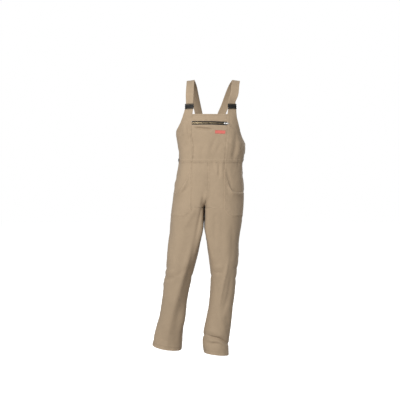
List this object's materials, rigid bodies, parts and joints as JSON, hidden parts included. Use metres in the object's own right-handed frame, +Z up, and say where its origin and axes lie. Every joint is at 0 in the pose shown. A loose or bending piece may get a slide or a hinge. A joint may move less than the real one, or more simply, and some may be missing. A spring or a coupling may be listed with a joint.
{
  "type": "bib overalls",
  "caption": "Worn, standing bib overalls of plain tan work cloth, with shoulder straps, plastic buckles, a zipped bib pocket and curved patch pockets; hollow inside.",
  "frame": {"origin": "on the shoulders, midway between the tops of the two straps", "axes": "+Z up, the front faces -Y, the wearer's left side is at +X"},
  "size_m": [0.5044, 0.2636, 1.4827],
  "materials": {
    "work_cloth": "matte sanded twill, tan",
    "zip_tape": "dark woven tape with dark teeth",
    "zip_metal": "bright nickel",
    "label_weave": "plain red woven label",
    "buckle_plastic": "black moulded plastic",
    "button_plastic": "dark moulded plastic"
  },
  "bodies": {
    "garment": {"bib_front": "work_cloth", "bib_top_band": "work_cloth", "bib_side_right": "work_cloth", "bib_side_left": "work_cloth", "upper_back": "work_cloth", "zip_tape": "zip_tape", "zip_slider": "zip_metal", "label": "label_weave", "strap_right": "work_cloth", "strap_left": "work_cloth", "buckle_insert_right": "buckle_plastic", "buckle_insert_left": "buckle_plastic", "buckle_socket_right": "buckle_plastic", "buckle_socket_left": "buckle_plastic", "side_button_right": "button_plastic", "side_button_left": "button_plastic", "front_leg_right": "work_cloth", "front_leg_left": "work_cloth", "back_leg_right": "work_cloth", "back_leg_left": "work_cloth", "pocket_right": "work_cloth", "pocket_left": "work_cloth"},
    "pull_tab": {"zip_pull_tab": "zip_metal"}
  },
  "joints": [
    {"name": "pull_tab_hinge", "type": "hinge", "parent": "garment", "child": "pull_tab", "pos_m": [0.06091, -0.11642, -0.23609], "axis": [-0.0398, -0.0869, -0.9954], "range_deg": [0, 170]}
  ]
}
